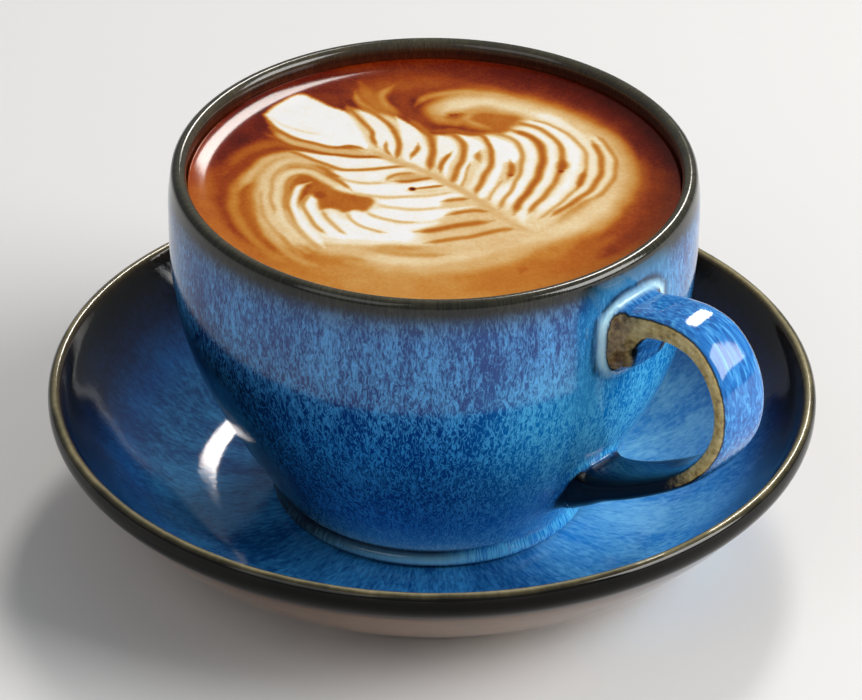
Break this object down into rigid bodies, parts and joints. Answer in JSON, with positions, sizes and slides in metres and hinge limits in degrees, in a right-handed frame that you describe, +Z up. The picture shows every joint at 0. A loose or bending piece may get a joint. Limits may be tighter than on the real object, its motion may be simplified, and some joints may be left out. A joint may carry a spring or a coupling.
{
  "type": "latte in a cup",
  "caption": "Latte with a poured leaf pattern in a round-bellied glazed stoneware cup with a strap handle, standing on its deep saucer.",
  "frame": {"origin": "middle of the whole's footprint, on the plane the saucer's foot stands on", "axes": "+Z up, +X from the cup axis towards the handle, +Y completes a right-handed frame"},
  "size_m": [0.1542, 0.15, 0.0781],
  "materials": {
    "saucer_glaze": "glossy reactive glaze, blue breaking to near black with a pale edge line",
    "cup_glaze": "glossy reactive glaze, streaked blue with a dark olive lip",
    "latte": "satin wet crema and milk foam"
  },
  "bodies": {
    "root": {"saucer": "saucer_glaze", "cup": "cup_glaze", "latte": "latte"}
  },
  "joints": []
}
